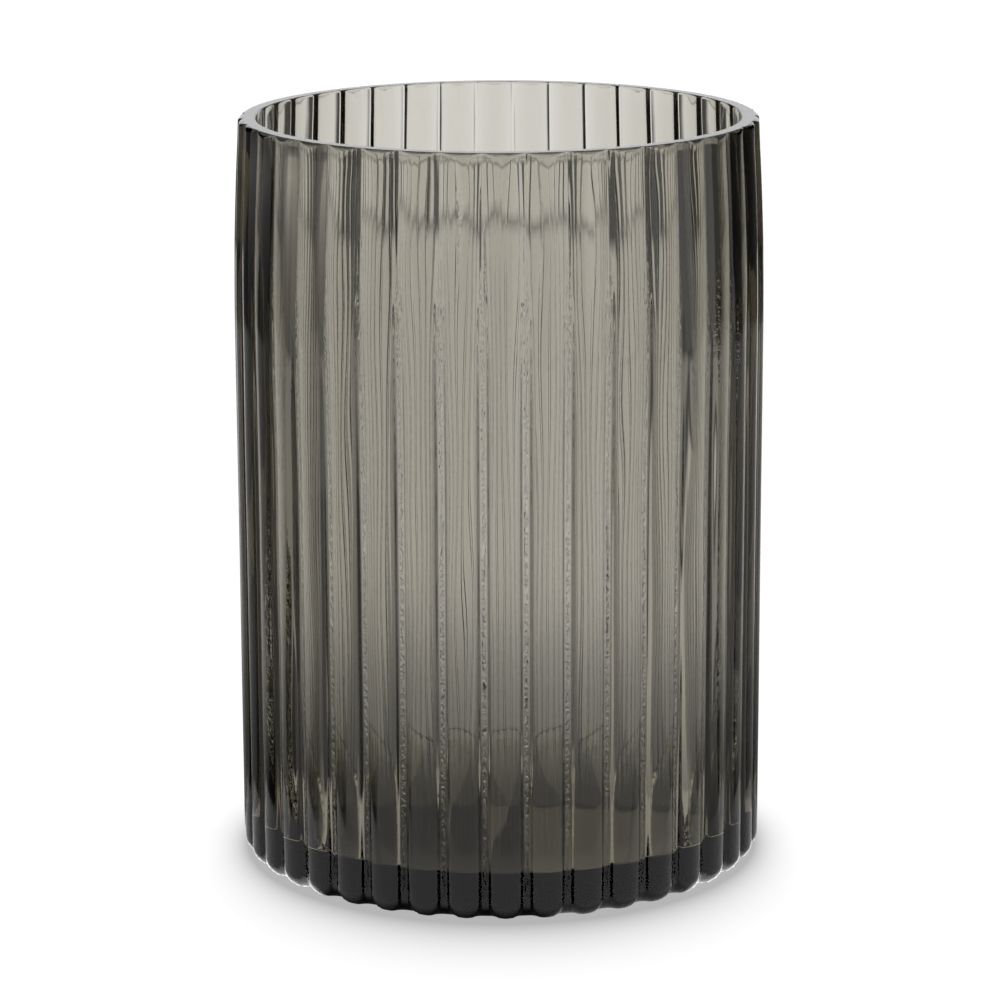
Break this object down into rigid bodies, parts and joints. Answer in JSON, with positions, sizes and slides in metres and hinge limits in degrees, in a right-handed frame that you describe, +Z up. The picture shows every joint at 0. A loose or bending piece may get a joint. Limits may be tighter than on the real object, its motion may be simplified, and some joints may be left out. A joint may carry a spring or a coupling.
{
  "type": "glass cylinder vase",
  "caption": "Smoked glass cylinder vase: convex vertical ribs outside, smooth round inside, slightly drawn-in top, flat polished rim and a thick solid bottom.",
  "frame": {"origin": "centre of the flat standing face, on the vase's axis", "axes": "+Z up along the vase's axis; a rib crest lies on +X, -X, +Y and -Y"},
  "size_m": [0.141, 0.141, 0.2],
  "materials": {
    "smoked_glass": "clear polished smoked grey glass, slightly warm, darker where it is thick"
  },
  "bodies": {
    "root": {"base": "smoked_glass", "fluted_wall": "smoked_glass", "shoulder": "smoked_glass", "rim": "smoked_glass"}
  },
  "joints": []
}
